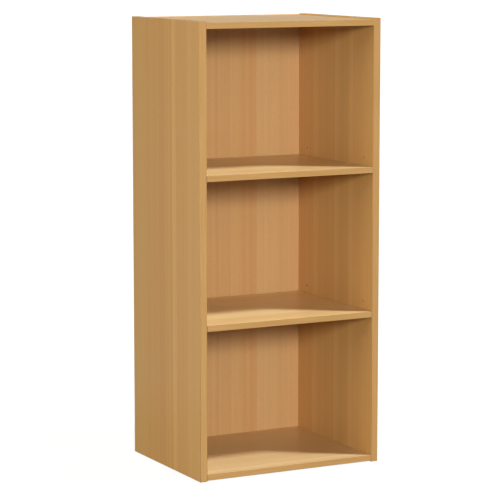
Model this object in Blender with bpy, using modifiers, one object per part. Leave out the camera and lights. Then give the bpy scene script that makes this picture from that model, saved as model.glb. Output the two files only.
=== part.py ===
"""Flat-pack bookcase with three open bays.

Faced chipboard sides, top, bottom and two shelves, a hardboard back nailed on behind, cam fittings and
dowels at the four corners, and each shelf lying loose on four pins in rows of drilled holes.
X runs to the right, Y to the back and Z up, with the origin under the middle of the bookcase.
"""

import math

import bmesh
import bpy
from mathutils import Matrix, Vector

# Driving dimensions, in metres.
width = 0.402
height = 0.900
side_depth = 0.309            # one side, with its front edge band
side_thickness = 0.015
board_thickness = 0.012       # top, bottom and shelves
back_thickness = 0.003
band_thickness = 0.001        # edge band along each front edge
bottom_rise = 0.002           # underside of the bottom board over the floor
top_drop = 0.003              # top board below the ends of the sides
lower_shelf_top = 0.310
upper_shelf_top = 0.603
gap = 0.0003                  # between pieces that touch
edge_easing = 0.0004          # tiny chamfer on every board

# Shelves and the pins that carry them.
shelf_side_gap = 0.0009
shelf_back_gap = 0.0020
pin_pitch = 0.032             # one hole to the next, up the side
pin_inset = 0.037             # both rows, from the front and the back of the side
pin_stem_radius = 0.0025
pin_stem_length = 0.0085
pin_head_radius = 0.0035
pin_head_length = 0.0080
pin_hole_depth = 0.0095

# Cam fittings and dowels that hold the corners.
fitting_inset = 0.050         # bolt and cam, from the front and the back of the board
dowel_inset = 0.082
cam_backset = 0.024           # cam centre from the end of its board
cam_radius = 0.0072
cam_length = 0.0092
bolt_shank_radius = 0.0020
bolt_thread_radius = 0.0025
bolt_thread_length = 0.0100
bolt_flange_radius = 0.0033
bolt_flange_start = 0.0006    # from the face of the side
bolt_flange_end = 0.0018
bolt_neck_start = 0.0002
bolt_point = 0.0020
bolt_head_radius = 0.0026
bolt_head_length = 0.0024
dowel_radius = 0.0030
dowel_in_side = 0.0095
dowel_in_board = 0.0200

# Back panel and its nails.
back_inset = 0.0015           # back panel inside the outline of the sides
nail_radius = 0.0007
nail_length = 0.0200
nail_head_radius = 0.0017
nail_head_length = 0.0008
nail_point = 0.0020
side_nail_rows = 5
side_nail_margin = 0.050
rail_nail_reach = 0.100       # nails into top and bottom, either side of the middle

# Planes that follow from them.
overall_depth = side_depth + gap + back_thickness
front_y = -overall_depth / 2
side_back_y = front_y + side_depth
board_front_y = front_y + band_thickness + gap
inner_x = width / 2 - side_thickness
top_board_top = height - top_drop
bottom_board_top = bottom_rise + board_thickness
sides = (("left", -1), ("right", 1))
depths = (("front", front_y, 1), ("rear", side_back_y, -1))

for old in list(bpy.data.objects):
    bpy.data.objects.remove(old, do_unlink=True)

parts = bpy.data.collections.new("bookcase")
cutters = bpy.data.collections.new("cutters")
bpy.context.scene.collection.children.link(parts)
bpy.context.scene.collection.children.link(cutters)


def principled(name, colour, roughness, metallic=0.0):
    """A plain Principled material in a linear colour."""
    material = bpy.data.materials.new(name)
    material.use_nodes = True
    shader = material.node_tree.nodes["Principled BSDF"]
    shader.inputs["Base Color"].default_value = (*colour, 1.0)
    shader.inputs["Roughness"].default_value = roughness
    shader.inputs["Metallic"].default_value = metallic
    return material


beech_foil = principled("beech_foil", (0.53, 0.30, 0.13), 0.45)
edge_band = principled("edge_band", (0.60, 0.33, 0.12), 0.40)
printed_back = principled("printed_back", (0.55, 0.31, 0.13), 0.55)
zinc = principled("zinc", (0.55, 0.55, 0.56), 0.40, 1.0)
nickel = principled("nickel", (0.70, 0.69, 0.66), 0.25, 1.0)
nail_steel = principled("nail_steel", (0.48, 0.48, 0.50), 0.40, 1.0)
dowel_wood = principled("dowel_wood", (0.62, 0.42, 0.24), 0.70)


def add_object(name, mesh, material=None, location=(0, 0, 0), rotation=(0, 0, 0), collection=parts):
    """One named object, with its material on the mesh."""
    piece = bpy.data.objects.new(name, mesh)
    piece.location = location
    piece.rotation_euler = rotation
    collection.objects.link(piece)
    if material and material.name not in mesh.materials:
        mesh.materials.append(material)
    return piece


def box_mesh(name, size):
    """A box of the given size about its own middle."""
    shape = bmesh.new()
    bmesh.ops.create_cube(shape, size=1.0)
    bmesh.ops.scale(shape, vec=Vector(size), verts=shape.verts)
    mesh = bpy.data.meshes.new(name)
    shape.to_mesh(mesh)
    shape.free()
    return mesh


def board(name, low, high, material):
    """A board between two corners, its origin in its middle and its edges eased."""
    low = Vector(low)
    high = Vector(high)
    piece = add_object(name, box_mesh(name, high - low), material, (low + high) / 2)
    ease = piece.modifiers.new("eased_edges", "BEVEL")
    ease.width = edge_easing
    ease.segments = 1
    ease.limit_method = "NONE"
    return piece


def cut(piece, cutter):
    """Take the cutter's shape out of the piece."""
    cutter.hide_render = True
    cutter.display_type = "WIRE"
    boolean = piece.modifiers.new(cutter.name, "BOOLEAN")
    boolean.operation = "DIFFERENCE"
    boolean.solver = "EXACT"
    boolean.object = cutter


def drill(piece, name, holes, sides=12):
    """Bore round holes, each given as (mouth, direction into the piece, radius, depth)."""
    overrun = 0.002
    shape = bmesh.new()
    for mouth, direction, radius, depth in holes:
        direction = Vector(direction)
        middle = Vector(mouth) + direction * (depth - overrun) / 2
        turn = direction.to_track_quat("Z", "Y").to_matrix().to_4x4()
        bmesh.ops.create_cone(
            shape,
            cap_ends=True,
            segments=sides,
            radius1=radius,
            radius2=radius,
            depth=depth + overrun,
            matrix=Matrix.Translation(middle) @ turn,
        )
    mesh = bpy.data.meshes.new(name)
    shape.to_mesh(mesh)
    shape.free()
    cut(piece, add_object(name, mesh, collection=cutters))


def finished_mesh(piece, smooth_angle=40):
    """The piece's mesh with its modifiers worked in, smooth across gentle angles; the piece goes."""
    evaluated = piece.evaluated_get(bpy.context.evaluated_depsgraph_get())
    mesh = bpy.data.meshes.new_from_object(evaluated)
    mesh.name = piece.name
    mesh.shade_smooth()
    mesh.set_sharp_from_angle(angle=math.radians(smooth_angle))
    bpy.data.objects.remove(piece, do_unlink=True)
    return mesh


def turned_mesh(name, profile, material, steps=12):
    """A shape turned about Z from (radius, height) points that run from its top to its bottom."""
    shape = bmesh.new()
    points = [shape.verts.new((radius, 0, z)) for radius, z in profile]
    for start, end in zip(points, points[1:]):
        shape.edges.new((start, end))
    mesh = bpy.data.meshes.new(name)
    shape.to_mesh(mesh)
    shape.free()
    blank = add_object(name, mesh, material)
    lathe = blank.modifiers.new("lathe", "SCREW")
    lathe.axis = "Z"
    lathe.steps = steps
    lathe.render_steps = steps
    lathe.use_merge_vertices = True
    lathe.merge_threshold = 0.00001
    return finished_mesh(blank)


def shelf_pin_height(shelf_top):
    """Middle of the pins under a shelf."""
    return shelf_top - board_thickness - gap - pin_head_radius


# Side panels: bored on the inner face for pins, bolts and dowels, and on the back edge for nails.
shelf_tops = (("lower", lower_shelf_top), ("upper", upper_shelf_top))
rails = (("bottom", bottom_rise + board_thickness / 2), ("top", top_board_top - board_thickness / 2))
nail_heights = [
    side_nail_margin + row * (height - 2 * side_nail_margin) / (side_nail_rows - 1)
    for row in range(side_nail_rows)
]
nail_hole_depth = nail_length - back_thickness + 2 * gap

for side, hand in sides:
    outer_x = hand * width / 2
    face_x = hand * inner_x
    panel = board(
        f"{side}_side_panel",
        (min(outer_x, face_x), board_front_y, 0),
        (max(outer_x, face_x), side_back_y, height),
        beech_foil,
    )
    into_side = (hand, 0, 0)
    pin_holes = [
        ((face_x, edge_y + inward * pin_inset, shelf_pin_height(shelf_top) + step * pin_pitch),
         into_side, pin_stem_radius + gap, pin_hole_depth)
        for _, shelf_top in shelf_tops
        for _, edge_y, inward in depths
        for step in (-1, 0, 1)
    ]
    corner_holes = []
    for _, rail_z in rails:
        for _, edge_y, inward in depths:
            corner_holes.append(
                ((face_x, edge_y + inward * fitting_inset, rail_z),
                 into_side, bolt_thread_radius + gap, bolt_thread_length + gap))
            corner_holes.append(
                ((face_x, edge_y + inward * dowel_inset, rail_z),
                 into_side, dowel_radius + gap, dowel_in_side + gap))
    drill(panel, f"{side}_side_pin_holes", pin_holes)
    drill(panel, f"{side}_side_corner_holes", corner_holes)
    nail_x = hand * (width - side_thickness) / 2
    nail_holes = [
        ((nail_x, side_back_y, z), (0, -1, 0), nail_radius + gap, nail_hole_depth)
        for z in nail_heights
    ]
    drill(panel, f"{side}_side_nail_holes", nail_holes, sides=6)
    board(
        f"{side}_side_edge_band",
        (min(outer_x, face_x), front_y, 0),
        (max(outer_x, face_x), front_y + band_thickness, height),
        edge_band,
    ).modifiers["eased_edges"].width = edge_easing / 2

# Top and bottom boards between the sides, each with four cam pockets on its underside.
rail_x = inner_x - gap
for rail, rail_z in rails:
    panel = board(
        f"{rail}_panel",
        (-rail_x, board_front_y, rail_z - board_thickness / 2),
        (rail_x, side_back_y, rail_z + board_thickness / 2),
        beech_foil,
    )
    underside_z = rail_z - board_thickness / 2
    pockets = []
    channels = []
    dowel_holes = []
    for _, hand in sides:
        for _, edge_y, inward in depths:
            fitting_y = edge_y + inward * fitting_inset
            dowel_y = edge_y + inward * dowel_inset
            into_board = (-hand, 0, 0)
            pockets.append(
                ((hand * (rail_x - cam_backset), fitting_y, underside_z),
                 (0, 0, 1), cam_radius + gap, cam_length + 2 * gap))
            channels.append(
                ((hand * rail_x, fitting_y, rail_z), into_board, bolt_flange_radius + gap, cam_backset))
            dowel_holes.append(
                ((hand * rail_x, dowel_y, rail_z), into_board, dowel_radius + gap, dowel_in_board + gap))
    drill(panel, f"{rail}_panel_cam_pockets", pockets, sides=16)
    drill(panel, f"{rail}_panel_bolt_channels", channels)
    drill(panel, f"{rail}_panel_dowel_holes", dowel_holes)
    nail_holes = [
        ((reach, side_back_y, rail_z), (0, -1, 0), nail_radius + gap, nail_hole_depth)
        for reach in (-rail_nail_reach, rail_nail_reach)
    ]
    drill(panel, f"{rail}_panel_nail_holes", nail_holes, sides=6)
    board(
        f"{rail}_edge_band",
        (-rail_x, front_y, rail_z - board_thickness / 2),
        (rail_x, front_y + band_thickness, rail_z + board_thickness / 2),
        edge_band,
    ).modifiers["eased_edges"].width = edge_easing / 2

# Shelves: plain boards, a little narrower and shallower than the bay so that they lift off their pins.
shelf_x = inner_x - shelf_side_gap
for shelf, shelf_top in shelf_tops:
    board(
        f"{shelf}_shelf",
        (-shelf_x, board_front_y, shelf_top - board_thickness),
        (shelf_x, side_back_y - shelf_back_gap, shelf_top),
        beech_foil,
    )
    board(
        f"{shelf}_shelf_edge_band",
        (-shelf_x, front_y, shelf_top - board_thickness),
        (shelf_x, front_y + band_thickness, shelf_top),
        edge_band,
    ).modifiers["eased_edges"].width = edge_easing / 2

# Shelf pins: a stem that pushes into the side and a thicker head that the shelf lies on.
nose_radius = 0.0008
pin_mesh = turned_mesh(
    "shelf_pin",
    [
        (0, pin_head_length),
        (pin_head_radius - nose_radius, pin_head_length),
        (pin_head_radius, pin_head_length - nose_radius),
        (pin_head_radius, gap),
        (pin_stem_radius, gap),
        (pin_stem_radius, -pin_stem_length + nose_radius),
        (pin_stem_radius - nose_radius, -pin_stem_length),
        (0, -pin_stem_length),
    ],
    nickel,
)
for shelf, shelf_top in shelf_tops:
    for side, hand in sides:
        for depth, edge_y, inward in depths:
            add_object(
                f"{shelf}_shelf_pin_{side}_{depth}",
                pin_mesh,
                location=(hand * inner_x, edge_y + inward * pin_inset, shelf_pin_height(shelf_top)),
                rotation=(0, -hand * math.pi / 2, 0),
            )

# Cam bolts: thread in the side, flange in the mouth of the channel, head in the middle of the cam.
bolt_head_end = gap + cam_backset + bolt_head_length / 2
bolt_head_start = bolt_head_end - bolt_head_length
bolt_mesh = turned_mesh(
    "cam_bolt",
    [
        (0, bolt_head_end),
        (bolt_head_radius, bolt_head_end),
        (bolt_head_radius, bolt_head_start),
        (bolt_shank_radius, bolt_head_start),
        (bolt_shank_radius, bolt_flange_end),
        (bolt_flange_radius, bolt_flange_end),
        (bolt_flange_radius, bolt_flange_start),
        (bolt_thread_radius, bolt_neck_start),
        (bolt_thread_radius, -bolt_thread_length + bolt_point),
        (0, -bolt_thread_length),
    ],
    zinc,
    steps=10,
)

# Cam: a short drum, open on one side and above for the bolt's head, with a cross slot below.
drum = bmesh.new()
bmesh.ops.create_cone(
    drum, cap_ends=True, segments=16, radius1=cam_radius, radius2=cam_radius, depth=cam_length)
drum_mesh = bpy.data.meshes.new("cam")
drum.to_mesh(drum_mesh)
drum.free()
cam_blank = add_object("cam", drum_mesh, zinc, (0, 0, cam_length / 2))
bolt_axis_z = board_thickness / 2 - gap
head_room = 0.0006
slot_width = 0.0014
slot_length = 0.0080
slot_depth = 0.0016
cam_cuts = (
    ("cam_neck_slot", (cam_radius * 2, (bolt_shank_radius + head_room) * 2, cam_length),
     (cam_radius, 0, bolt_axis_z - bolt_shank_radius - head_room + cam_length / 2)),
    ("cam_head_pocket", (bolt_head_length + 2 * head_room, (bolt_head_radius + head_room) * 2, cam_length),
     (0, 0, bolt_axis_z - bolt_head_radius - head_room + cam_length / 2)),
    ("cam_slot_along", (slot_length, slot_width, slot_depth * 2), (0, 0, 0)),
    ("cam_slot_across", (slot_width, slot_length, slot_depth * 2), (0, 0, 0)),
)
for name, size, location in cam_cuts:
    cut(cam_blank, add_object(name, box_mesh(name, size), location=location, collection=cutters))
bpy.context.view_layer.update()
cam_mesh = finished_mesh(cam_blank)
cam_mesh.transform(Matrix.Translation((0, 0, cam_length / 2)))
for name, _, _ in cam_cuts:
    bpy.data.objects.remove(bpy.data.objects[name], do_unlink=True)

# Dowels: plain beech pegs with chamfered ends.
dowel_chamfer = 0.0008
dowel_mesh = turned_mesh(
    "dowel",
    [
        (0, dowel_in_board),
        (dowel_radius - dowel_chamfer, dowel_in_board),
        (dowel_radius, dowel_in_board - dowel_chamfer),
        (dowel_radius, -dowel_in_side + dowel_chamfer),
        (dowel_radius - dowel_chamfer, -dowel_in_side),
        (0, -dowel_in_side),
    ],
    dowel_wood,
)

for rail, rail_z in rails:
    for side, hand in sides:
        for depth, edge_y, inward in depths:
            fitting_y = edge_y + inward * fitting_inset
            along_board = (0, -hand * math.pi / 2, 0)
            place = f"{rail}_{side}_{depth}"
            add_object(
                f"cam_bolt_{place}",
                bolt_mesh,
                location=(hand * inner_x, fitting_y, rail_z),
                rotation=along_board,
            )
            add_object(
                f"cam_{place}",
                cam_mesh,
                location=(hand * (rail_x - cam_backset), fitting_y, rail_z - board_thickness / 2 + gap),
                rotation=(0, 0, 0 if hand > 0 else math.pi),
            )
            add_object(
                f"dowel_{place}",
                dowel_mesh,
                location=(hand * inner_x, edge_y + inward * dowel_inset, rail_z),
                rotation=along_board,
            )

# Back panel behind the four boards, with a sunk hole for each nail.
nail_places = [
    (f"{side}_{number}", hand * (width - side_thickness) / 2, z)
    for side, hand in sides
    for number, z in enumerate(nail_heights, start=1)
]
nail_places += [
    (f"{rail}_{side}", hand * rail_nail_reach, rail_z)
    for rail, rail_z in rails
    for side, hand in sides
]
back_y = front_y + overall_depth
back = board(
    "back_panel",
    (-width / 2 + back_inset, side_back_y + gap, back_inset),
    (width / 2 - back_inset, back_y, height - back_inset),
    printed_back,
)
through_holes = [
    ((x, back_y, z), (0, -1, 0), nail_radius + gap, back_thickness * 2)
    for _, x, z in nail_places
]
sinks = [
    ((x, back_y, z), (0, -1, 0), nail_head_radius + gap, nail_head_length + gap)
    for _, x, z in nail_places
]
drill(back, "back_nail_holes", through_holes, sides=6)
drill(back, "back_nail_sinks", sinks, sides=8)
nail_mesh = turned_mesh(
    "back_nail",
    [
        (0, 0),
        (nail_head_radius, 0),
        (nail_head_radius, -nail_head_length),
        (nail_radius, -nail_head_length),
        (nail_radius, -nail_length + nail_point),
        (0, -nail_length),
    ],
    nail_steel,
    steps=8,
)
for place, x, z in nail_places:
    add_object(f"back_nail_{place}", nail_mesh, location=(x, back_y, z), rotation=(-math.pi / 2, 0, 0))
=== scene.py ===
import math

import bmesh
import bpy
from mathutils import Matrix, Vector


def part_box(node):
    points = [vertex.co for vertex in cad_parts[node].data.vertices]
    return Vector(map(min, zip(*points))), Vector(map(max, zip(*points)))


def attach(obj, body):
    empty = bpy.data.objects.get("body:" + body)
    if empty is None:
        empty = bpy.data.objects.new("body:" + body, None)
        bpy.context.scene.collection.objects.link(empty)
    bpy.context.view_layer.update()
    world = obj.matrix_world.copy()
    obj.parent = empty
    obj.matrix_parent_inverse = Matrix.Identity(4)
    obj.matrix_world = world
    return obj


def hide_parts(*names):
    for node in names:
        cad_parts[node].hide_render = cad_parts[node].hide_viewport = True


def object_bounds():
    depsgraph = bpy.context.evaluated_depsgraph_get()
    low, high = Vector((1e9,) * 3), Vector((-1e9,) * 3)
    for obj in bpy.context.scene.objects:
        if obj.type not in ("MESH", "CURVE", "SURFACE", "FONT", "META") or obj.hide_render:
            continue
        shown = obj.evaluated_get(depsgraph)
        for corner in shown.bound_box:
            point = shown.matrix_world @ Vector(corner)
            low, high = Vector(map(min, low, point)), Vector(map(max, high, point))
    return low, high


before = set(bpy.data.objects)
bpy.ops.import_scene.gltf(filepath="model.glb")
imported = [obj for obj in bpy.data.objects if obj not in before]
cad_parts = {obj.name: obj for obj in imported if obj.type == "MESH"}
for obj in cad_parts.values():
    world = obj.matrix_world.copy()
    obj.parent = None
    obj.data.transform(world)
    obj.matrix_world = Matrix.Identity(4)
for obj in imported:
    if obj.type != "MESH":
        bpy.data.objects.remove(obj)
cad_low, cad_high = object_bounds()

# Camera. It stands in front and to the left, a little over the bookcase, and looks slightly down at it
# through a long lens, as a catalogue shows furniture.
camera_data = bpy.data.cameras.new("camera")
camera_data.lens = 162.6
camera_data.clip_end = 200
camera = bpy.data.objects.new("camera", camera_data)
camera.location = (-2.113, cad_low.y - 3.874, 1.062)
camera.rotation_euler = (math.radians(90 - 7.93), 0, math.radians(-27.55))
bpy.context.scene.collection.objects.link(camera)
bpy.context.scene.camera = camera


# Side panels. Two full-height boards of 15 mm chipboard, faced on both sides with paper printed as beech
# under melamine. The top, bottom and rear edges are sawn and left raw. The inner face is bored for the
# shelf pins, the cam bolts and the dowels, and the rear edge takes the nails of the back.
def linear(hex_colour):
    """An sRGB hex colour as linear RGBA."""
    channels = [int(hex_colour[start:start + 2], 16) / 255 for start in (1, 3, 5)]
    return (*[c / 12.92 if c <= 0.04045 else ((c + 0.055) / 1.055) ** 2.4 for c in channels], 1.0)


def add_node(tree, kind, inputs=None, **settings):
    """One node with its settings; each input is a value or another node's output."""
    made = tree.nodes.new(kind)
    for name, value in settings.items():
        setattr(made, name, value)
    for socket, value in (inputs or {}).items():
        if isinstance(value, bpy.types.NodeSocket):
            tree.links.new(value, made.inputs[socket])
        else:
            made.inputs[socket].default_value = value
    return made


def new_material(name, values):
    """A material with its even values set on the shader's own sockets."""
    material = bpy.data.materials.new(name)
    material.use_nodes = True
    tree = material.node_tree
    tree.nodes.clear()
    shader = add_node(tree, "ShaderNodeBsdfPrincipled", values)
    add_node(tree, "ShaderNodeOutputMaterial", {"Surface": shader.outputs["BSDF"]})
    return material, tree, shader


# The beech print, as staves across the roll of paper: width in metres and tone.
staves = (
    (0.040, "#C89E66"),
    (0.014, "#CCA06A"),
    (0.051, "#C59A62"),
    (0.015, "#CEA36C"),
    (0.039, "#C59A61"),
    (0.028, "#C1945D"),
    (0.063, "#C2975F"),
    (0.060, "#C29A61"),
    (0.080, "#C59A61"),
    (0.020, "#CBA168"),
    (0.040, "#C3995F"),
    (0.020, "#C99F66"),
    (0.065, "#C4985E"),
    (0.020, "#CB9E65"),
    (0.065, "#C6965C"),
    (0.070, "#C89B63"),
    (0.014, "#CCA068"),
    (0.142, "#C69A62"),
    (0.024, "#C89D64"),
    (0.037, "#C6975F"),
    (0.048, "#CAA16A"),
    (0.028, "#C89E66"),
    (0.037, "#CC9F68"),
)
roll_width = sum(width for width, tone in staves)
# The grain wanders up to 7 mm sideways, twice in a metre of length and 12 times in a metre of width.
grain_wander = 0.007
wanders_per_metre = (12.0, 2.0, 0.0)
# Growth lines lie 4 to 12 mm apart.
growth_pitch = 0.009
# Hair streaks about 1 mm across and 100 mm long; real ones are half as wide, too fine to show.
streak_width = 0.0011
streak_length = 0.10
# One ray fleck to each cell of this size, drawn 0.7 mm wide and 5 mm long; real ones are 0.4 by 3 mm.
fleck_across = 0.0028
fleck_along = 0.018
fleck_strength = 0.16
pore_depth = 0.00008
# The two faces of one board come from stretches of the roll that lie this many thicknesses apart.
face_shift = 9.0
melamine_roughness = 0.30


def printed_beech(name, along, across, through, cut_at, shade, roughness):
    """Beech decor: rotogravure-printed paper under satin melamine resin. The eye sees straight staves
    that differ slightly in tone, finer growth lines, long hair streaks, and the short brown flecks of
    beech. along, across and through name the board's axes, cut_at is where on the roll it was cut, and
    shade is a tint over the print in red, green and blue; on the top, bottom and shelves it also holds
    painted light for how the light falls on each board."""
    material, tree, shader = new_material(name, {"IOR": 1.5})
    place = add_node(tree, "ShaderNodeTexCoord")
    axes = add_node(tree, "ShaderNodeSeparateXYZ", {0: place.outputs["Object"]})
    face = add_node(
        tree,
        "ShaderNodeMath",
        {0: axes.outputs[through], 1: face_shift, 2: cut_at},
        operation="MULTIPLY_ADD",
    )
    cross = add_node(tree, "ShaderNodeMath", {0: axes.outputs[across], 1: face.outputs[0]}, operation="ADD")
    flat = add_node(
        tree, "ShaderNodeCombineXYZ", {"X": cross.outputs[0], "Y": axes.outputs[along], "Z": 0.0})
    wander_at = add_node(
        tree, "ShaderNodeVectorMath", {0: flat.outputs[0], 1: wanders_per_metre}, operation="MULTIPLY")
    wander = add_node(
        tree, "ShaderNodeTexNoise", {"Vector": wander_at.outputs[0], "Scale": 1.0, "Detail": 1.0})
    grain = add_node(
        tree,
        "ShaderNodeMath",
        {0: wander.outputs["Fac"], 1: grain_wander, 2: cross.outputs[0]},
        operation="MULTIPLY_ADD",
    )
    on_roll = add_node(
        tree, "ShaderNodeMath", {0: grain.outputs[0], 1: roll_width, 2: 0.0}, operation="WRAP")
    along_roll = add_node(
        tree, "ShaderNodeMath", {0: on_roll.outputs[0], 1: roll_width}, operation="DIVIDE")
    stave = add_node(tree, "ShaderNodeValToRGB", {"Fac": along_roll.outputs[0]})
    ramp = stave.color_ramp
    ramp.interpolation = "CONSTANT"
    ramp.elements.remove(ramp.elements[1])
    reached = 0
    for width, tone in staves:
        start = ramp.elements.new(reached / roll_width) if reached else ramp.elements[0]
        start.color = [part * factor for part, factor in zip(linear(tone), (*shade, 1))]
        reached += width
    growth = add_node(
        tree,
        "ShaderNodeTexNoise",
        {"W": grain.outputs[0], "Scale": 1 / growth_pitch, "Detail": 3.0, "Roughness": 0.6},
        noise_dimensions="1D",
    )
    growth_value = add_node(
        tree,
        "ShaderNodeMapRange",
        {"Value": growth.outputs["Fac"], "From Min": 0.3, "From Max": 0.7, "To Min": 0.955, "To Max": 1.04},
    )
    streak_at = add_node(
        tree,
        "ShaderNodeVectorMath",
        {0: flat.outputs[0], 1: (1 / streak_width, 1 / streak_length, 0.0)},
        operation="MULTIPLY",
    )
    streaks = add_node(
        tree, "ShaderNodeTexNoise", {"Vector": streak_at.outputs[0], "Scale": 1.0, "Detail": 2.0})
    streak_value = add_node(
        tree,
        "ShaderNodeMapRange",
        {
            "Value": streaks.outputs["Fac"],
            "From Min": 0.25,
            "From Max": 0.75,
            "To Min": 0.965,
            "To Max": 1.03,
        },
    )
    fleck_at = add_node(
        tree,
        "ShaderNodeVectorMath",
        {0: flat.outputs[0], 1: (1 / fleck_across, 1 / fleck_along, 0.0)},
        operation="MULTIPLY",
    )
    flecks = add_node(
        tree,
        "ShaderNodeTexVoronoi",
        {"Vector": fleck_at.outputs[0], "Scale": 1.0},
        voronoi_dimensions="2D",
    )
    fleck_mask = add_node(
        tree,
        "ShaderNodeMapRange",
        {
            "Value": flecks.outputs["Distance"],
            "From Min": 0.08,
            "From Max": 0.18,
            "To Min": fleck_strength,
            "To Max": 0.0,
        },
        interpolation_type="SMOOTHSTEP",
    )
    value = add_node(
        tree,
        "ShaderNodeMath",
        {0: growth_value.outputs[0], 1: streak_value.outputs[0]},
        operation="MULTIPLY",
    )
    toned = add_node(
        tree,
        "ShaderNodeVectorMath",
        {0: stave.outputs["Color"], "Scale": value.outputs[0]},
        operation="SCALE",
    )
    colour = add_node(
        tree,
        "ShaderNodeMix",
        {0: fleck_mask.outputs[0], 6: toned.outputs[0], 7: linear("#8E5C30")},
        data_type="RGBA",
    )
    tree.links.new(colour.outputs[2], shader.inputs["Base Color"])
    gloss = add_node(
        tree,
        "ShaderNodeMapRange",
        {"Value": streaks.outputs["Fac"], "To Min": roughness - 0.05, "To Max": roughness + 0.05},
    )
    tree.links.new(gloss.outputs[0], shader.inputs["Roughness"])
    # The press plate leaves shallow pores that follow the flecks and streaks.
    relief = add_node(
        tree,
        "ShaderNodeMath",
        {0: fleck_mask.outputs[0], 1: -2.0, 2: streaks.outputs["Fac"]},
        operation="MULTIPLY_ADD",
    )
    bump = add_node(
        tree, "ShaderNodeBump", {"Height": relief.outputs[0], "Strength": 0.25, "Distance": pore_depth})
    tree.links.new(bump.outputs[0], shader.inputs["Normal"])
    return material


# Raw chipboard, sawn or bored: pale and dark chips 1 to 3 mm long pressed in glue, greyish, dull and rough.
chip_size = 0.0022
dust_size = 0.0007
chipboard, tree, shader = new_material("raw_chipboard", {"Roughness": 0.85, "IOR": 1.45})
place = add_node(tree, "ShaderNodeTexCoord")
chips = add_node(tree, "ShaderNodeTexVoronoi", {"Vector": place.outputs["Object"], "Scale": 1 / chip_size})
chip_parts = add_node(tree, "ShaderNodeSeparateColor", {0: chips.outputs["Color"]})
chip_tone = add_node(tree, "ShaderNodeValToRGB", {"Fac": chip_parts.outputs["Red"]})
chip_tone.color_ramp.elements[0].color = linear("#6F5639")
chip_tone.color_ramp.elements[1].color = linear("#BDA27C")
dust = add_node(
    tree, "ShaderNodeTexNoise", {"Vector": place.outputs["Object"], "Scale": 1 / dust_size, "Detail": 3.0})
dusted = add_node(
    tree,
    "ShaderNodeMix",
    {0: dust.outputs["Fac"], 6: chip_tone.outputs["Color"], 7: linear("#957C5B")},
    data_type="RGBA",
)
tree.links.new(dusted.outputs[2], shader.inputs["Base Color"])
chip_bump = add_node(
    tree, "ShaderNodeBump", {"Height": chips.outputs["Distance"], "Strength": 0.6, "Distance": 0.0003})
tree.links.new(chip_bump.outputs[0], shader.inputs["Normal"])


def new_tree(name, inputs):
    """A Geometry Nodes tree with a geometry in, a geometry out and the named inputs."""
    tree = bpy.data.node_groups.new(name, "GeometryNodeTree")
    tree.interface.new_socket("Geometry", in_out="OUTPUT", socket_type="NodeSocketGeometry")
    tree.interface.new_socket("Geometry", in_out="INPUT", socket_type="NodeSocketGeometry")
    for socket, kind in inputs.items():
        tree.interface.new_socket(socket, in_out="INPUT", socket_type=f"NodeSocket{kind}")
    return tree, add_node(tree, "NodeGroupInput").outputs


def grow(piece, tree, values):
    """Put a tree on a piece, each input set by its identifier."""
    modifier = piece.modifiers.new(tree.name, "NODES")
    modifier.node_group = tree
    for item in tree.interface.items_tree:
        if item.in_out == "INPUT" and item.name in values:
            modifier[item.identifier] = values[item.name]


def settle(piece):
    """Work the piece's modifiers into a plain mesh."""
    mesh = bpy.data.meshes.new_from_object(piece.evaluated_get(bpy.context.evaluated_depsgraph_get()))
    piece.modifiers.clear()
    piece.data = mesh


def add_piece(name, data):
    """A new object at the origin."""
    piece = bpy.data.objects.new(name, data)
    bpy.context.scene.collection.objects.link(piece)
    return piece


def box_mesh(name, low, high):
    """A box between two corners."""
    shape = bmesh.new()
    size = Matrix.Diagonal((*(high - low), 1))
    bmesh.ops.create_cube(shape, size=1.0, matrix=Matrix.Translation((low + high) / 2) @ size)
    mesh = bpy.data.meshes.new(name)
    shape.to_mesh(mesh)
    shape.free()
    return mesh


def point_mesh(name, points, edges=()):
    """A mesh of points, with or without edges between them."""
    mesh = bpy.data.meshes.new(name)
    mesh.from_pydata([tuple(point) for point in points], list(edges), [])
    return mesh


def middle_of(node):
    """The middle of a CAD node."""
    low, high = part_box(node)
    return (low + high) / 2


# The drill: a round cutter across the mouth of every hole of one size.
drill_tree, drill_in = new_tree(
    "drill", {"Radius": "Float", "Depth": "Float", "Turn": "Vector", "Hole wall": "Material"})
drill_length = add_node(drill_tree, "ShaderNodeMath", {0: drill_in["Depth"], 1: 2.0}, operation="MULTIPLY")
drill_bit = add_node(
    drill_tree,
    "GeometryNodeMeshCylinder",
    {"Vertices": 32, "Radius": drill_in["Radius"], "Depth": drill_length.outputs[0]},
)
drill_turn = add_node(drill_tree, "FunctionNodeEulerToRotation", {0: drill_in["Turn"]})
drill_at = add_node(
    drill_tree,
    "GeometryNodeInstanceOnPoints",
    {
        "Points": drill_in["Geometry"],
        "Instance": drill_bit.outputs["Mesh"],
        "Rotation": drill_turn.outputs[0],
    },
)
drill_real = add_node(drill_tree, "GeometryNodeRealizeInstances", {0: drill_at.outputs[0]})
drill_wall = add_node(
    drill_tree,
    "GeometryNodeSetMaterial",
    {"Geometry": drill_real.outputs[0], "Material": drill_in["Hole wall"]},
)
add_node(drill_tree, "NodeGroupOutput", {0: drill_wall.outputs[0]})

across_board = (0, math.pi / 2, 0)
into_rear_edge = (math.pi / 2, 0, 0)
upwards = (0, 0, 0)
board_easing = 0.0004


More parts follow.
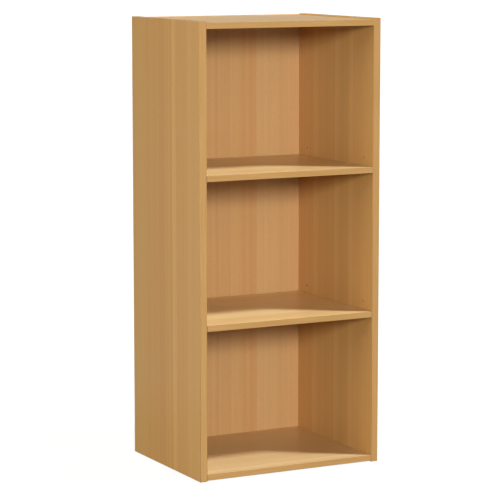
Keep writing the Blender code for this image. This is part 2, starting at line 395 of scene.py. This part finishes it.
def faced_board(name, node, faces, bores, through):
    """A board the size of its CAD node, with printed faces, raw edges, eased arrises and bored holes.
    bores are (name, mouths, turn, radius, depth), and through is the axis through the board."""
    low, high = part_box(node)
    board = add_piece(name, box_mesh(name, low, high))
    board.data.materials.append(faces)
    board.data.materials.append(chipboard)
    ease = board.modifiers.new("eased_arrises", "BEVEL")
    ease.width = board_easing
    ease.segments = 2
    ease.limit_method = "NONE"
    drills = []
    for bore_name, mouths, turn, radius, depth in bores:
        drill = add_piece(f"{name}_{bore_name}", point_mesh(bore_name, mouths))
        grow(drill, drill_tree, {"Radius": radius, "Depth": depth, "Turn": turn, "Hole wall": chipboard})
        bore = board.modifiers.new(bore_name, "BOOLEAN")
        bore.operation = "DIFFERENCE"
        bore.solver = "EXACT"
        bore.object = drill
        drills.append(drill)
    settle(board)
    for drill in drills:
        bpy.data.objects.remove(drill, do_unlink=True)
    skin = board_easing * 1.5
    for polygon in board.data.polygons:
        place = polygon.center
        on_face = place[through] < low[through] + skin or place[through] > high[through] - skin
        polygon.material_index = 0 if on_face else 1
        inside = all(low[axis] + skin < place[axis] < high[axis] - skin for axis in range(3))
        polygon.use_smooth = inside and abs(polygon.normal[through]) < 0.5
    return board


hands = (("left", -1), ("right", 1))
ends = ("front", "rear")
shelves = ("lower", "upper")
rails = ("bottom", "top")

# The outer left and inner right faces start at the front edge on their own stretches of the roll.
side_on_roll = {"left": 0.0, "right": 0.31}
side_shade = (1.0, 0.98, 0.89)
pin_pitch = 0.032
# Each bore: which way it runs, its radius, which is 0.3 mm over what goes in, and its depth.
pin_bore = (across_board, 0.0028, 0.0095)
bolt_bore = (across_board, 0.0028, 0.0103)
side_dowel_bore = (across_board, 0.0033, 0.0098)
nail_bore = (into_rear_edge, 0.0010, 0.0176)

for hand, sign in hands:
    low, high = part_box(f"{hand}_side_panel")
    inner_x = high.x if sign < 0 else low.x
    pin_mouths = []
    bolt_mouths = []
    dowel_mouths = []
    for end in ends:
        for shelf in shelves:
            pin = middle_of(f"{shelf}_shelf_pin_{hand}_{end}")
            pin_mouths += [(inner_x, pin.y, pin.z + step * pin_pitch) for step in (-1, 0, 1)]
        for rail in rails:
            bolt = middle_of(f"cam_bolt_{rail}_{hand}_{end}")
            bolt_mouths.append((inner_x, bolt.y, bolt.z))
            dowel = middle_of(f"dowel_{rail}_{hand}_{end}")
            dowel_mouths.append((inner_x, dowel.y, dowel.z))
    nails = [middle_of(node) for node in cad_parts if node.startswith(f"back_nail_{hand}_")]
    nail_mouths = [(nail.x, high.y, nail.z) for nail in nails]
    cut_at = side_on_roll[hand] - low.y - face_shift * low.x
    faces = printed_beech(
        f"printed_beech_{hand}_side", "Z", "Y", "X", cut_at, side_shade, melamine_roughness)
    side = faced_board(
        f"faced_{hand}_side",
        f"{hand}_side_panel",
        faces,
        (
            ("pin_rows", pin_mouths, *pin_bore),
            ("bolt_holes", bolt_mouths, *bolt_bore),
            ("dowel_holes", dowel_mouths, *side_dowel_bore),
            ("nail_holes", nail_mouths, *nail_bore),
        ),
        through=0,
    )
    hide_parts(f"{hand}_side_panel")
    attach(side, "carcass")

# Top and bottom boards. 12 mm faced chipboard between the sides, the grain running across. The underside
# has a pocket for each cam, and each end a channel for the bolt and a hole for the dowel.
rail_cuts = (0.12, 0.70)
# The rails' tints are painted light, not the print's tone: the top is darkened and the bottom cooled for how
# the light falls on them.
rail_tints_with_painted_light = ((0.97, 1.02, 1.17), (0.90, 0.94, 1.05))
cam_pocket = (upwards, 0.0075, 0.0098)
bolt_channel = (across_board, 0.0036, 0.024)
rail_dowel_bore = (across_board, 0.0033, 0.0203)

for rail, cut_at, rail_tint_with_painted_light in zip(rails, rail_cuts, rail_tints_with_painted_light):
    low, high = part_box(f"{rail}_panel")
    pocket_mouths = []
    channel_mouths = []
    dowel_mouths = []
    for hand, sign in hands:
        end_x = high.x if sign > 0 else low.x
        for end in ends:
            cam = middle_of(f"cam_{rail}_{hand}_{end}")
            pocket_mouths.append((cam.x, cam.y, low.z))
            bolt = middle_of(f"cam_bolt_{rail}_{hand}_{end}")
            channel_mouths.append((end_x, bolt.y, bolt.z))
            dowel = middle_of(f"dowel_{rail}_{hand}_{end}")
            dowel_mouths.append((end_x, dowel.y, dowel.z))
    nails = [middle_of(node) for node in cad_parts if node.startswith(f"back_nail_{rail}_")]
    nail_mouths = [(nail.x, high.y, nail.z) for nail in nails]
    faces = printed_beech(f"printed_beech_{rail}", "X", "Y", "Z", cut_at, rail_tint_with_painted_light, melamine_roughness)
    panel = faced_board(
        f"faced_{rail}",
        f"{rail}_panel",
        faces,
        (
            ("cam_pockets", pocket_mouths, *cam_pocket),
            ("bolt_channels", channel_mouths, *bolt_channel),
            ("dowel_holes", dowel_mouths, *rail_dowel_bore),
            ("nail_holes", nail_mouths, *nail_bore),
        ),
        through=2,
    )
    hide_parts(f"{rail}_panel")
    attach(panel, "carcass")

# Adjustable shelves. The same 12 mm faced chipboard, a little shorter than the bay so that each lies
# loose on its four pins and lifts off them.
shelf_cuts = (0.25, 0.88)
# The shelves' tint is painted light, not the print's tone: paler and cooler all over, for where the key
# light falls on them.
shelf_tint_with_painted_light = (1.07, 1.12, 1.20)

for shelf, cut_at in zip(shelves, shelf_cuts):
    faces = printed_beech(
        f"printed_beech_{shelf}_shelf", "X", "Y", "Z", cut_at, shelf_tint_with_painted_light, melamine_roughness)
    board = faced_board(f"faced_{shelf}_shelf", f"{shelf}_shelf", faces, (), through=2)
    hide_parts(f"{shelf}_shelf")
    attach(board, f"{shelf}_shelf")


# Edge bands. A 1 mm plastic strip glued along each front edge and trimmed with a small radius, printed
# with plain straight streaks a shade deeper than the faces. The streaks are drawn twice as wide as they are.
band_streak_width = 0.0012
band_streak_length = 0.12
band_radius = 0.0005


def edge_band(name, length_axis):
    """ABS edge band, extruded, printed and lacquered: fine streaks along it and a slight gloss."""
    material, tree, shader = new_material(name, {"IOR": 1.5})
    place = add_node(tree, "ShaderNodeTexCoord")
    stretch = [1 / band_streak_width] * 3
    stretch[length_axis] = 1 / band_streak_length
    streak_at = add_node(
        tree, "ShaderNodeVectorMath", {0: place.outputs["Object"], 1: stretch}, operation="MULTIPLY")
    streaks = add_node(
        tree, "ShaderNodeTexNoise", {"Vector": streak_at.outputs[0], "Scale": 1.0, "Detail": 3.0})
    tone = add_node(tree, "ShaderNodeValToRGB", {"Fac": streaks.outputs["Fac"]})
    tone.color_ramp.elements[0].position = 0.3
    tone.color_ramp.elements[0].color = linear("#A47843")
    tone.color_ramp.elements[1].position = 0.7
    tone.color_ramp.elements[1].color = linear("#B38853")
    tree.links.new(tone.outputs["Color"], shader.inputs["Base Color"])
    gloss = add_node(
        tree, "ShaderNodeMapRange", {"Value": streaks.outputs["Fac"], "To Min": 0.36, "To Max": 0.44})
    tree.links.new(gloss.outputs[0], shader.inputs["Roughness"])
    bump = add_node(
        tree, "ShaderNodeBump", {"Height": streaks.outputs["Fac"], "Strength": 0.15, "Distance": 0.00005})
    tree.links.new(bump.outputs[0], shader.inputs["Normal"])
    return material


upright_band = edge_band("abs_edge_band_upright", 2)
level_band = edge_band("abs_edge_band_level", 0)
bands = [(f"{hand}_side_edge_band", "carcass", 2, upright_band) for hand, _ in hands]
bands += [(f"{rail}_edge_band", "carcass", 0, level_band) for rail in rails]
bands += [(f"{shelf}_shelf_edge_band", f"{shelf}_shelf", 0, level_band) for shelf in shelves]

for node, body, length_axis, material in bands:
    low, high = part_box(node)
    band = add_piece(f"glued_{node}", box_mesh(node, low, high))
    band.data.materials.append(material)
    shape = bmesh.new()
    shape.from_mesh(band.data)
    front_arrises = [
        edge for edge in shape.edges
        if all(abs(corner.co.y - low.y) < 1e-6 for corner in edge.verts)
        and abs(edge.verts[0].co[length_axis] - edge.verts[1].co[length_axis]) > band_radius
    ]
    trimmed = bmesh.ops.bevel(
        shape,
        geom=front_arrises,
        offset=band_radius,
        offset_type="OFFSET",
        segments=4,
        profile=0.5,
        affect="EDGES",
    )
    for face in trimmed["faces"]:
        face.smooth = True
    shape.to_mesh(band.data)
    shape.free()
    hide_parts(node)
    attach(band, body)

# Shelf pins. Turned steel pegs, nickel plated: a stem pushed into the side and a thicker head under the
# shelf. One lathe tree turns a piece from its profile and sets one at each place, for pins and nails alike.
lathe_tree, lathe_in = new_tree(
    "lathe", {"Places": "Object", "Turn": "Vector", "Steps": "Int", "Metal": "Material"})
hub_radius = 0.0001
lathe_hub = add_node(
    lathe_tree, "GeometryNodeCurvePrimitiveCircle", {"Resolution": lathe_in["Steps"], "Radius": hub_radius})
lathe_profile = add_node(lathe_tree, "GeometryNodeMeshToCurve", {0: lathe_in["Geometry"]})
lathe_swept = add_node(
    lathe_tree,
    "GeometryNodeCurveToMesh",
    {"Curve": lathe_hub.outputs[0], "Profile Curve": lathe_profile.outputs[0]},
)
lathe_closed = add_node(
    lathe_tree, "GeometryNodeMergeByDistance", {0: lathe_swept.outputs[0], "Distance": 0.000002})
lathe_places = add_node(lathe_tree, "GeometryNodeObjectInfo", {"Object": lathe_in["Places"]})
lathe_turn = add_node(lathe_tree, "FunctionNodeEulerToRotation", {0: lathe_in["Turn"]})
lathe_at = add_node(
    lathe_tree,
    "GeometryNodeInstanceOnPoints",
    {
        "Points": lathe_places.outputs["Geometry"],
        "Instance": lathe_closed.outputs[0],
        "Rotation": lathe_turn.outputs[0],
    },
)
lathe_real = add_node(lathe_tree, "GeometryNodeRealizeInstances", {0: lathe_at.outputs[0]})
lathe_metal = add_node(
    lathe_tree,
    "GeometryNodeSetMaterial",
    {"Geometry": lathe_real.outputs[0], "Material": lathe_in["Metal"]},
)
add_node(lathe_tree, "NodeGroupOutput", {0: lathe_metal.outputs[0]})


def turned(name, profile, places, turn, metal, steps=32):
    """Turned pieces, one at each place, from (radius, height) points that run from top to bottom."""
    # Curve to Mesh lays the profile's X outwards from the hub and its Y down.
    outline = [(radius - hub_radius, -height, 0) for radius, height in profile]
    piece = add_piece(name, point_mesh(name, outline, zip(range(len(profile) - 1), range(1, len(profile)))))
    spots = add_piece(f"{name}_places", point_mesh(f"{name}_places", places))
    grow(piece, lathe_tree, {"Places": spots, "Turn": turn, "Steps": steps, "Metal": metal})
    settle(piece)
    bpy.data.objects.remove(spots, do_unlink=True)
    shape = bmesh.new()
    shape.from_mesh(piece.data)
    bmesh.ops.recalc_face_normals(shape, faces=shape.faces)
    shape.to_mesh(piece.data)
    shape.free()
    piece.data.shade_smooth()
    piece.data.set_sharp_from_angle(angle=math.radians(35))
    return piece


def plated_metal(name, dark, light, roughness, grain):
    """A metal finish: two near tones that drift over the piece, with fine unevenness in its gloss."""
    material, tree, shader = new_material(name, {"Metallic": 1.0})
    place = add_node(tree, "ShaderNodeTexCoord")
    drift = add_node(
        tree, "ShaderNodeTexNoise", {"Vector": place.outputs["Object"], "Scale": 1 / grain, "Detail": 4.0})
    tone = add_node(tree, "ShaderNodeValToRGB", {"Fac": drift.outputs["Fac"]})
    tone.color_ramp.elements[0].position = 0.35
    tone.color_ramp.elements[0].color = linear(dark)
    tone.color_ramp.elements[1].position = 0.65
    tone.color_ramp.elements[1].color = linear(light)
    tree.links.new(tone.outputs["Color"], shader.inputs["Base Color"])
    gloss = add_node(
        tree,
        "ShaderNodeMapRange",
        {"Value": drift.outputs["Fac"], "To Min": roughness - 0.08, "To Max": roughness + 0.08},
    )
    tree.links.new(gloss.outputs[0], shader.inputs["Roughness"])
    bump = add_node(
        tree, "ShaderNodeBump", {"Height": drift.outputs["Fac"], "Strength": 0.2, "Distance": grain / 20})
    tree.links.new(bump.outputs[0], shader.inputs["Normal"])
    return material


# Bright nickel plate over turned steel: warm silver, close to a mirror.
nickel_plate = plated_metal("nickel_plated_steel", "#BDB6AB", "#D3CBBF", 0.22, 0.0015)
pin_stem_radius = 0.0025
pin_head_radius = 0.0035
pin_collar = 0.0003
# The rounding of the head's rim; the stem's tip is bevelled by as much.
pin_nose = 0.0008
pin_face_radius = pin_head_radius - pin_nose
nose_turns = [math.radians(90 * step / 4) for step in range(5)]

for shelf in shelves:
    for hand, sign in hands:
        for end in ends:
            node = f"{shelf}_shelf_pin_{hand}_{end}"
            low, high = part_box(node)
            middle = (low + high) / 2
            side_low, side_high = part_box(f"{hand}_side_panel")
            seat_x = side_high.x if sign < 0 else side_low.x
            head = abs((high.x if sign < 0 else low.x) - seat_x)
            stem = -abs((low.x if sign < 0 else high.x) - seat_x)
            profile = [(0, head)]
            profile += [
                (pin_face_radius + pin_nose * math.sin(turn), head - pin_nose + pin_nose * math.cos(turn))
                for turn in nose_turns
            ]
            profile += [
                (pin_head_radius, pin_collar),
                (pin_stem_radius, pin_collar),
                (pin_stem_radius, stem + pin_nose),
                (pin_stem_radius - pin_nose, stem),
                (0, stem),
            ]
            pin = turned(
                f"nickel_{node}",
                profile,
                [(seat_x, middle.y, middle.z)],
                (0, -sign * math.pi / 2, 0),
                nickel_plate,
            )
            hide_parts(node)
            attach(pin, node)

# Cams. Zinc die-cast drums let into the underside of the top and bottom boards; a screwdriver in the
# cross slot turns one until it grips the bolt's head. A small arrow shows where the bolt comes in.
# Zinc as it leaves the die: a dull cool grey with a fine even grain.
die_cast_zinc = plated_metal("die_cast_zinc", "#9FA1A4", "#B7B9BB", 0.45, 0.0008)
cam_radius = 0.0072
cam_low, cam_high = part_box("cam_top_right_front")
cam_length = cam_high.z - cam_low.z
bolt_axis = middle_of("cam_bolt_top_right_front").z - cam_low.z
cam_slot_width = 0.0014
cam_slot_length = 0.0085
cam_slot_depth = 0.0018
neck_width = 0.0052
head_pocket = 0.0064
head_pocket_reach = 0.0018
cam_rim = 0.0004

cam_blank = add_piece("cam_blank", bpy.data.meshes.new("cam_blank"))
drum = bmesh.new()
bmesh.ops.create_cone(
    drum,
    cap_ends=True,
    segments=48,
    radius1=cam_radius,
    radius2=cam_radius,
    depth=cam_length,
    matrix=Matrix.Translation((0, 0, cam_length / 2)),
)
rims = [edge for edge in drum.edges if abs(edge.verts[0].co.z - edge.verts[1].co.z) < 1e-6]
bmesh.ops.bevel(
    drum, geom=rims, offset=cam_rim, offset_type="OFFSET", segments=2, profile=0.5, affect="EDGES")
drum.to_mesh(cam_blank.data)
drum.free()
cam_cuts = (
    ("slot_along", (-cam_slot_length / 2, -cam_slot_width / 2, -cam_slot_depth),
     (cam_slot_length / 2, cam_slot_width / 2, cam_slot_depth)),
    ("slot_across", (-cam_slot_width / 2, -cam_slot_length / 2, -cam_slot_depth),
     (cam_slot_width / 2, cam_slot_length / 2, cam_slot_depth)),
    ("neck_slot", (0, -neck_width / 2, bolt_axis - neck_width / 2),
     (cam_radius * 2, neck_width / 2, cam_length * 2)),
    ("head_pocket", (-head_pocket_reach, -head_pocket / 2, bolt_axis - head_pocket / 2),
     (head_pocket_reach, head_pocket / 2, cam_length * 2)),
)
cutters = [add_piece(name, box_mesh(name, Vector(low), Vector(high))) for name, low, high in cam_cuts]
arrow_shape = bmesh.new()
arrow_tip = cam_radius - 0.0008
arrow_back = cam_radius - 0.0022
arrow_half_width = 0.0008
arrow_depth = 0.0003
arrow_outline = ((arrow_tip, 0), (arrow_back, arrow_half_width), (arrow_back, -arrow_half_width))
arrow_low = [arrow_shape.verts.new((x, y, -arrow_depth)) for x, y in arrow_outline]
arrow_high = [arrow_shape.verts.new((x, y, arrow_depth)) for x, y in arrow_outline]
arrow_shape.faces.new(arrow_low)
arrow_shape.faces.new(arrow_high)
for start, end in ((0, 1), (1, 2), (2, 0)):
    arrow_shape.faces.new((arrow_low[start], arrow_low[end], arrow_high[end], arrow_high[start]))
bmesh.ops.recalc_face_normals(arrow_shape, faces=arrow_shape.faces)
arrow_mesh = bpy.data.meshes.new("arrow")
arrow_shape.to_mesh(arrow_mesh)
arrow_shape.free()
cutters.append(add_piece("arrow", arrow_mesh))
for cutter in cutters:
    cut = cam_blank.modifiers.new(cutter.name, "BOOLEAN")
    cut.operation = "DIFFERENCE"
    cut.solver = "EXACT"
    cut.object = cutter
settle(cam_blank)
for cutter in cutters:
    bpy.data.objects.remove(cutter, do_unlink=True)

# One cam at each point; those on the left are turned round to face their own bolts.
cam_tree, cam_in = new_tree("cams", {"Cam": "Object", "Metal": "Material"})
cam_shape = add_node(cam_tree, "GeometryNodeObjectInfo", {"Object": cam_in["Cam"]})
cam_place = add_node(cam_tree, "GeometryNodeInputPosition")
cam_axes = add_node(cam_tree, "ShaderNodeSeparateXYZ", {0: cam_place.outputs[0]})
cam_on_left = add_node(cam_tree, "ShaderNodeMath", {0: cam_axes.outputs["X"], 1: 0.0}, operation="LESS_THAN")
cam_angle = add_node(
    cam_tree, "ShaderNodeMath", {0: cam_on_left.outputs[0], 1: math.pi}, operation="MULTIPLY")
cam_turn = add_node(cam_tree, "ShaderNodeCombineXYZ", {"Z": cam_angle.outputs[0]})
cam_rotation = add_node(cam_tree, "FunctionNodeEulerToRotation", {0: cam_turn.outputs[0]})
cam_at = add_node(
    cam_tree,
    "GeometryNodeInstanceOnPoints",
    {
        "Points": cam_in["Geometry"],
        "Instance": cam_shape.outputs["Geometry"],
        "Rotation": cam_rotation.outputs[0],
    },
)
cam_real = add_node(cam_tree, "GeometryNodeRealizeInstances", {0: cam_at.outputs[0]})
cam_metal = add_node(
    cam_tree, "GeometryNodeSetMaterial", {"Geometry": cam_real.outputs[0], "Material": cam_in["Metal"]})
add_node(cam_tree, "NodeGroupOutput", {0: cam_metal.outputs[0]})

cam_nodes = [f"cam_{rail}_{hand}_{end}" for rail in rails for hand, _ in hands for end in ends]
cam_points = [(middle_of(node).x, middle_of(node).y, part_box(node)[0].z) for node in cam_nodes]
cams = add_piece("die_cast_cams", point_mesh("die_cast_cams", cam_points))
grow(cams, cam_tree, {"Cam": cam_blank, "Metal": die_cast_zinc})
settle(cams)
bpy.data.objects.remove(cam_blank, do_unlink=True)
cams.data.shade_smooth()
cams.data.set_sharp_from_angle(angle=math.radians(30))
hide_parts(*cam_nodes)
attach(cams, "carcass")

# Cam bolts and dowels. Both are shut inside the boards: zinc-plated steel bolts, screwed into the sides,
# and pegs of bare beech that keep the boards level. Their CAD shapes stay and take these finishes.
# Bright zinc plate: bluish silver with a soft shine.
zinc_plate = plated_metal("zinc_plated_steel", "#AEB4BC", "#C9CED4", 0.32, 0.002)
# Bare beech, turned and sanded: pale, warm and dull, its fibres drawn coarser than the real ones.
bare_beech, tree, shader = new_material("bare_beech", {"Roughness": 0.65, "IOR": 1.5})
fibre_length = 0.02
fibre_width = 0.0005
place = add_node(tree, "ShaderNodeTexCoord")
fibre_at = add_node(
    tree,
    "ShaderNodeVectorMath",
    {0: place.outputs["Object"], 1: (1 / fibre_length, 1 / fibre_width, 1 / fibre_width)},
    operation="MULTIPLY",
)
fibre = add_node(tree, "ShaderNodeTexNoise", {"Vector": fibre_at.outputs[0], "Scale": 1.0, "Detail": 2.0})
fibre_tone = add_node(tree, "ShaderNodeValToRGB", {"Fac": fibre.outputs["Fac"]})
fibre_tone.color_ramp.elements[0].color = linear("#B98C5C")
fibre_tone.color_ramp.elements[1].color = linear("#E3BF92")
tree.links.new(fibre_tone.outputs["Color"], shader.inputs["Base Color"])
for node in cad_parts:
    if node.startswith(("cam_bolt_", "dowel_")):
        for slot in bpy.data.objects[node].material_slots:
            slot.material = zinc_plate if node.startswith("cam_bolt_") else bare_beech

# Back panel. 3 mm hardboard, wood fibre pressed hot against a wire screen. The face in the bays is
# printed as beech, the rear is bare and keeps the weave of the screen. It is nailed on behind.
# Bare hardboard: a dull brown, clouded by the pulp it is pressed from.
hardboard, tree, shader = new_material("bare_hardboard", {"Roughness": 0.7, "IOR": 1.45})
pulp_size = 0.004
place = add_node(tree, "ShaderNodeTexCoord")
pulp = add_node(
    tree, "ShaderNodeTexNoise", {"Vector": place.outputs["Object"], "Scale": 1 / pulp_size, "Detail": 5.0})
pulp_tone = add_node(tree, "ShaderNodeValToRGB", {"Fac": pulp.outputs["Fac"]})
pulp_tone.color_ramp.elements[0].position = 0.3
pulp_tone.color_ramp.elements[0].color = linear("#6B492A")
pulp_tone.color_ramp.elements[1].position = 0.75
pulp_tone.color_ramp.elements[1].color = linear("#8F693F")
tree.links.new(pulp_tone.outputs["Color"], shader.inputs["Base Color"])
# The real screen has 1.5 mm between wires; it is drawn at 4 mm so that it shows.
wire_pitch = 0.004
wire_turns = math.tau / wire_pitch
axes = add_node(tree, "ShaderNodeSeparateXYZ", {0: place.outputs["Object"]})
upright_turn = add_node(tree, "ShaderNodeMath", {0: axes.outputs["X"], 1: wire_turns}, operation="MULTIPLY")
level_turn = add_node(tree, "ShaderNodeMath", {0: axes.outputs["Z"], 1: wire_turns}, operation="MULTIPLY")
upright_wires = add_node(tree, "ShaderNodeMath", {0: upright_turn.outputs[0]}, operation="SINE")
level_wires = add_node(tree, "ShaderNodeMath", {0: level_turn.outputs[0]}, operation="SINE")
weave = add_node(
    tree, "ShaderNodeMath", {0: upright_wires.outputs[0], 1: level_wires.outputs[0]}, operation="MAXIMUM")
weave_bump = add_node(
    tree, "ShaderNodeBump", {"Height": weave.outputs[0], "Strength": 0.5, "Distance": 0.0003})
tree.links.new(weave_bump.outputs[0], shader.inputs["Normal"])

nail_nodes = sorted(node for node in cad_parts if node.startswith("back_nail_"))
back_low, back_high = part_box("back_panel")
nail_mouths = [(middle_of(node).x, back_high.y, middle_of(node).z) for node in nail_nodes]
nail_hole_through = (into_rear_edge, 0.0010, 0.004)
nail_sink = (into_rear_edge, 0.0020, 0.0011)
# The middle of the back lies here on the roll, so its last 0.4 m faces into the bays.
back_on_roll = 0.82
back_shade = (0.975, 1.0, 1.13)
back_roughness = 0.38
back_cut_at = back_on_roll - face_shift * back_low.y
back_print = printed_beech("printed_beech_back", "Z", "X", "Y", back_cut_at, back_shade, back_roughness)
back = faced_board(
    "printed_back",
    "back_panel",
    back_print,
    (("nail_holes", nail_mouths, *nail_hole_through), ("nail_sinks", nail_mouths, *nail_sink)),
    through=1,
)
back.data.materials[1] = hardboard
for polygon in back.data.polygons:
    polygon.material_index = 0 if polygon.center.y < back_low.y + board_easing else 1
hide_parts("back_panel")
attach(back, "carcass")

# Nails. Steel wire nails 20 mm long with small domed heads, hammered through the back into the rear edges
# of the sides, the top and the bottom until they are flush. Bright drawn wire is a neutral, soft silver.
bright_steel = plated_metal("bright_steel", "#A9A8A6", "#C2C0BC", 0.35, 0.001)
nail_low, nail_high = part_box(nail_nodes[0])
nail_length = nail_high.y - nail_low.y
nail_radius = 0.0007
nail_head_radius = (nail_high.x - nail_low.x) / 2
nail_head = 0.0008
nail_point = 0.002
nails = turned(
    "back_nails",
    (
        (0, 0),
        (nail_head_radius * 0.6, -nail_head * 0.1),
        (nail_head_radius * 0.9, -nail_head * 0.3),
        (nail_head_radius, -nail_head * 0.6),
        (nail_head_radius, -nail_head),
        (nail_radius, -nail_head),
        (nail_radius, -nail_length + nail_point),
        (0, -nail_length),
    ),
    nail_mouths,
    (-math.pi / 2, 0, 0),
    bright_steel,
    steps=24,
)
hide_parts(*nail_nodes)
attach(nails, "carcass")

# Studio. A pale plain floor that meets a white wall far behind, a high cool key light from the front
# right, a softbox by the camera, and soft lights from all sides. The floor and the wall are lit up for the
# camera only, so that they stay white without flooding the bays.
floor_paint, tree, shader = new_material("matt_floor_paint", {"Roughness": 0.9, "IOR": 1.45})
shader.inputs["Base Color"].default_value = linear("#5A5A5A")
shader.inputs["Emission Color"].default_value = linear("#FFFFFF")
seen = add_node(tree, "ShaderNodeLightPath")
floor_glow = add_node(
    tree, "ShaderNodeMapRange", {"Value": seen.outputs["Is Camera Ray"], "To Min": 0.03, "To Max": 0.9})
tree.links.new(floor_glow.outputs[0], shader.inputs["Emission Strength"])
floor_radius = 40
floor_below_bookcase = 0.0005
floor_mesh = bpy.data.meshes.new("floor")
disc = bmesh.new()
bmesh.ops.create_circle(disc, cap_ends=True, segments=96, radius=floor_radius)
disc.to_mesh(floor_mesh)
disc.free()
floor_mesh.materials.append(floor_paint)
floor = add_piece("floor", floor_mesh)
floor.location.z = -floor_below_bookcase

# Each distant light: where it stands, in degrees round from the front towards the right, its height, how
# wide it looks, its strength, its colour, and whether it is seen mirrored in the lacquer.
for name, round_from_front, height, spread, strength, colour, mirrored in (
    ("key", 55, 52, 8, 5.85, "#DAEEFF", False),
    ("front_wide", 0, 20, 30, 0.25, "#FFFFFF", True),
    ("left_soft", -90, 20, 40, 1.75, "#FFFAF0", False),
    ("right_soft", 105, 10, 20, 1.2, "#FFEBD2", False),
    ("rear_soft", 176, 6, 10, 2.6, "#FFF8EE", True),
    ("rear_rim", 152, 12, 40, 0.1, "#FFFFFF", True),
):
    light = bpy.data.lights.new(name, "SUN")
    light.energy = strength
    light.angle = math.radians(spread)
    light.color = linear(colour)[:3]
    lamp = add_piece(name, light)
    lamp.rotation_euler = (math.radians(90 - height), 0, math.radians(round_from_front))
    lamp.visible_glossy = mirrored

# The front softbox stands a little over and beside the camera, and so close that each bay sees it at its
# own height.
softbox_round = math.radians(-23)
softbox_distance = 5.75
softbox_height = 1.79
softbox_tilt = 13
softbox_light = bpy.data.lights.new("front_softbox", "AREA")
softbox_light.shape = "ELLIPSE"
softbox_light.size = 0.58
softbox_light.size_y = 0.95
softbox_light.energy = 255
softbox_light.color = linear("#FFFCF4")[:3]
softbox = add_piece("front_softbox", softbox_light)
softbox.location = (
    softbox_distance * math.sin(softbox_round), -softbox_distance * math.cos(softbox_round), softbox_height)
softbox.rotation_euler = (math.radians(90 - softbox_tilt), 0, softbox_round)
softbox.visible_camera = False

# The wall: white to the camera, and to the bookcase only a dim warm glow.
world = bpy.data.worlds.new("white_studio")
world.use_nodes = True
tree = world.node_tree
tree.nodes.clear()
seen = add_node(tree, "ShaderNodeLightPath")
wall_glow = add_node(
    tree,
    "ShaderNodeMix",
    {0: seen.outputs["Is Camera Ray"], 6: linear("#3E2A14"), 7: linear("#FFFFFF")},
    data_type="RGBA",
)
wall = add_node(tree, "ShaderNodeBackground", {"Color": wall_glow.outputs[2], "Strength": 1.0})
add_node(tree, "ShaderNodeOutputWorld", {"Surface": wall.outputs[0]})
bpy.context.scene.world = world
bpy.context.scene.view_settings.view_transform = "Standard"
